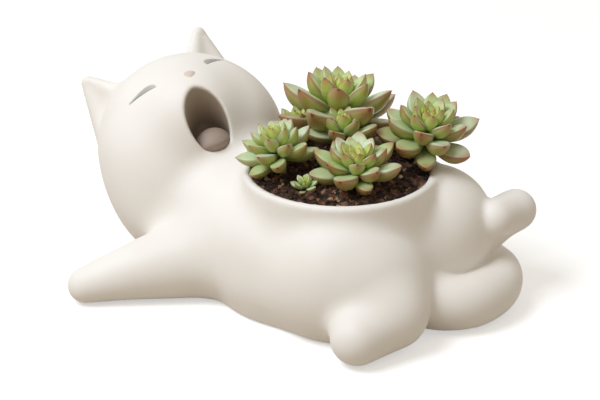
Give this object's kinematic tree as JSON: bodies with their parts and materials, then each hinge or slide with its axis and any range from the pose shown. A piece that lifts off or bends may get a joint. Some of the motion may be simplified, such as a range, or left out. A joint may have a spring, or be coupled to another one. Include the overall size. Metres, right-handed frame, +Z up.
{
  "type": "animal shaped planter",
  "caption": "Ceramic planter in the shape of a yawning cat lying on its back, with succulents growing from its belly.",
  "frame": {"origin": "on the flat unglazed base, straight under the middle of the pot's round rim", "axes": "+Z up, +X from the cat's head to its rump, -Y towards the side that the cat turns its face to"},
  "size_m": [0.2682, 0.202, 0.1184],
  "materials": {
    "ceramic": "matte",
    "nose_pad": "matte",
    "mesh": "matte",
    "soil": "matte",
    "stem": "matte",
    "leaf": "matte",
    "young_leaf": "matte"
  },
  "bodies": {
    "root": {"pot_body": "ceramic", "head": "ceramic", "nose": "nose_pad", "tongue": "ceramic", "near_ear": "ceramic", "far_ear": "ceramic", "near_foreleg": "ceramic", "far_foreleg": "ceramic", "near_hind_paw": "ceramic", "raised_hind_leg": "ceramic", "tail": "ceramic", "drainage_mesh": "mesh", "potting_soil": "soil", "back_plant_stem": "stem", "back_plant_heart": "young_leaf", "back_plant_outer_leaves": "leaf", "back_plant_inner_leaves": "young_leaf", "right_plant_stem": "stem", "right_plant_heart": "young_leaf", "right_plant_outer_leaves": "leaf", "right_plant_inner_leaves": "young_leaf", "left_plant_stem": "stem", "left_plant_heart": "young_leaf", "left_plant_outer_leaves": "leaf", "left_plant_inner_leaves": "young_leaf", "front_plant_stem": "stem", "front_plant_heart": "young_leaf", "front_plant_outer_leaves": "leaf", "front_plant_inner_leaves": "young_leaf", "middle_plant_stem": "stem", "middle_plant_heart": "young_leaf", "middle_plant_outer_leaves": "leaf", "middle_plant_inner_leaves": "young_leaf", "small_plant_stem": "stem", "small_plant_heart": "young_leaf", "small_plant_outer_leaves": "leaf", "small_plant_inner_leaves": "young_leaf", "hidden_plant_stem": "stem", "hidden_plant_heart": "young_leaf", "hidden_plant_outer_leaves": "leaf", "hidden_plant_inner_leaves": "young_leaf"}
  },
  "joints": []
}
